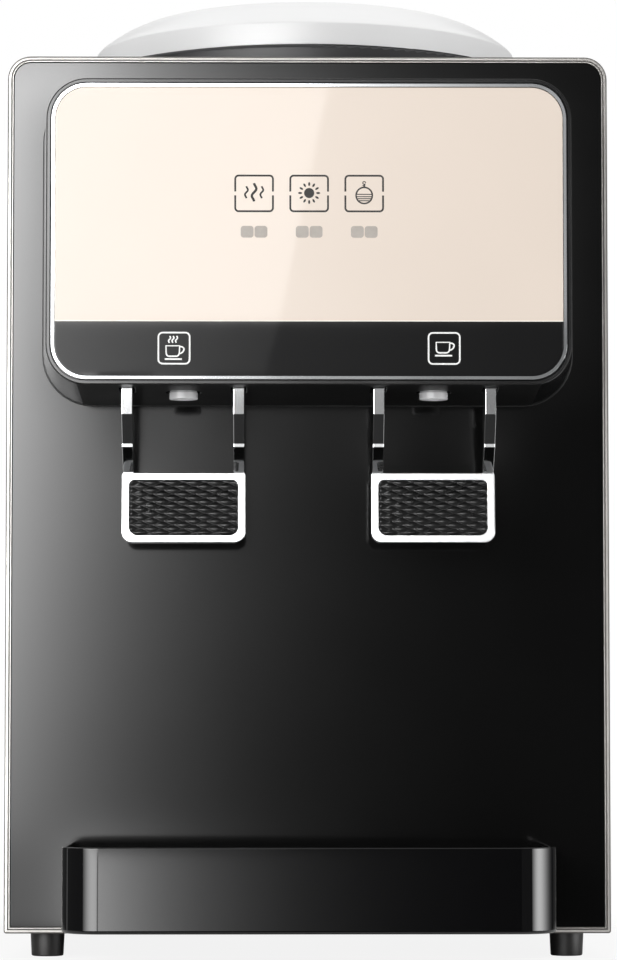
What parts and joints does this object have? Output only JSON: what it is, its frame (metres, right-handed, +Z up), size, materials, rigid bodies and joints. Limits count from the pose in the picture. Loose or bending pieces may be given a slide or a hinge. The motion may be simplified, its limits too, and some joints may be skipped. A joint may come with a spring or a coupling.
{
  "type": "countertop water dispenser",
  "caption": "Countertop bottled-water dispenser: glossy front, projecting head with display, push-lever taps for hot and ambient water, pull-out drip tray and funnel bottle seat.",
  "frame": {"origin": "centre of the footprint's bounding box, on the floor under the feet", "axes": "+Z up; the front panel, taps and tray face -Y; +X is to the right as seen from the front"},
  "size_m": [0.276, 0.341, 0.4488],
  "materials": {
    "gloss_black_panel": "high gloss",
    "frame_metal": "fine satin, champagne",
    "casing_black": "fine grain",
    "head_black": "high gloss",
    "bright_chrome": "polished",
    "window_acrylic": "high gloss, printed behind",
    "lamp_white": "white",
    "lamp_clear": "clear",
    "board_green": "solder mask",
    "plated_plastic": "bright plated",
    "pad_rubber": "moulded wave pattern",
    "valve_plastic": "natural",
    "bracket_steel": "zinc plated",
    "nut_brass": "turned",
    "spring_steel": "drawn wire",
    "seal_silicone": "soft",
    "tray_black": "gloss",
    "grille_black": "satin",
    "seat_white": "gloss",
    "probe_white": "gloss",
    "reservoir_plastic": "translucent",
    "stainless_steel": "drawn",
    "foam": "moulded foam",
    "heater_metal": "annealed",
    "thermostat_plastic": "moulded",
    "hose_silicone": "translucent",
    "fitting_black": "moulded",
    "rocker_red": "gloss",
    "wire_cover": "extruded",
    "foot_rubber": "soft"
  },
  "bodies": {
    "casing": {"base_plate": "casing_black", "feet": "foot_rubber", "left_side_cover": "casing_black", "right_side_cover": "casing_black", "rear_panel": "casing_black", "top_cover": "casing_black", "front_panel": "gloss_black_panel", "front_trim": "frame_metal", "head_shell": "head_black", "head_trim_ring": "bright_chrome", "display_window": "window_acrylic", "light_box": "lamp_white", "indicator_board": "board_green", "indicator_leds": "lamp_clear", "reservoir": "reservoir_plastic", "hot_tank": "stainless_steel", "tank_jacket": "foam", "tank_stand": "bracket_steel", "heating_element": "heater_metal", "tank_thermostats": "thermostat_plastic", "feed_hose": "hose_silicone", "cold_hose": "hose_silicone", "hot_hose": "hose_silicone", "vent_hose": "hose_silicone", "drain_hose": "hose_silicone", "drain_spout": "valve_plastic", "switch_body": "fitting_black", "cord_gland": "fitting_black", "wiring_loom": "wire_cover", "rear_screws": "bracket_steel", "head_screws": "bracket_steel", "tap_bracket_hot": "bracket_steel", "tap_body_hot": "valve_plastic", "tap_nut_hot": "nut_brass", "nozzle_hot": "bright_chrome", "tap_cap_hot": "valve_plastic", "valve_spring_hot": "spring_steel", "pivot_pin_hot": "bracket_steel", "tap_bracket_cold": "bracket_steel", "tap_body_cold": "valve_plastic", "tap_nut_cold": "nut_brass", "nozzle_cold": "bright_chrome", "tap_cap_cold": "valve_plastic", "valve_spring_cold": "spring_steel", "pivot_pin_cold": "bracket_steel"},
    "hot_lever": {"lever_hot": "plated_plastic", "lever_pad_hot": "pad_rubber"},
    "cold_lever": {"lever_cold": "plated_plastic", "lever_pad_cold": "pad_rubber"},
    "hot_stem": {"valve_stem_hot": "valve_plastic", "valve_seal_hot": "seal_silicone"},
    "cold_stem": {"valve_stem_cold": "valve_plastic", "valve_seal_cold": "seal_silicone"},
    "tray": {"drip_tray": "tray_black"},
    "grille": {"drip_grille": "grille_black"},
    "seat": {"bottle_collar": "seat_white", "bottle_probe": "probe_white", "collar_gasket": "seal_silicone"},
    "rocker": {"switch_rocker": "rocker_red"},
    "cap": {"drain_cap": "fitting_black"}
  },
  "joints": [
    {"name": "hot_lever_push", "type": "hinge", "parent": "casing", "child": "hot_lever", "pos_m": [-0.056, -0.1435, 0.293], "axis": [1, 0, 0], "range_deg": [0, 12], "stiffness_Nm_per_rad": 0.8, "springref_deg": -5.73},
    {"name": "hot_stem_lift", "type": "slide", "parent": "casing", "child": "hot_stem", "axis": [0, 0, 1], "range_m": [0, 0.0027], "deforming": ["valve_spring_hot"]},
    {"name": "cold_lever_push", "type": "hinge", "parent": "casing", "child": "cold_lever", "pos_m": [0.056, -0.1435, 0.293], "axis": [1, 0, 0], "range_deg": [0, 12], "stiffness_Nm_per_rad": 0.8, "springref_deg": -5.73},
    {"name": "cold_stem_lift", "type": "slide", "parent": "casing", "child": "cold_stem", "axis": [0, 0, 1], "range_m": [0, 0.0027], "deforming": ["valve_spring_cold"]},
    {"name": "tray_pull", "type": "slide", "parent": "casing", "child": "tray", "axis": [0, -1, 0], "range_m": [0, 0.09]},
    {"name": "grille_lift", "type": "slide", "parent": "tray", "child": "grille", "axis": [0, 0, 1], "range_m": [0, 0.05]},
    {"name": "seat_lift", "type": "slide", "parent": "casing", "child": "seat", "axis": [0, 0, 1], "range_m": [0, 0.085]},
    {"name": "power_rocker", "type": "hinge", "parent": "casing", "child": "rocker", "pos_m": [0.06, 0.1545, 0.088], "axis": [1, 0, 0], "range_deg": [0, 16]},
    {"name": "drain_cap_turn", "type": "hinge", "parent": "casing", "child": "cap", "pos_m": [-0.06, 0.1605, 0.036], "axis": [0, 1, 0], "continuous": true}
  ],
  "couplings": [
    {"joint": "hot_stem_lift", "follows": "hot_lever_push", "m_per_rad": 0.012},
    {"joint": "cold_stem_lift", "follows": "cold_lever_push", "m_per_rad": 0.012}
  ]
}
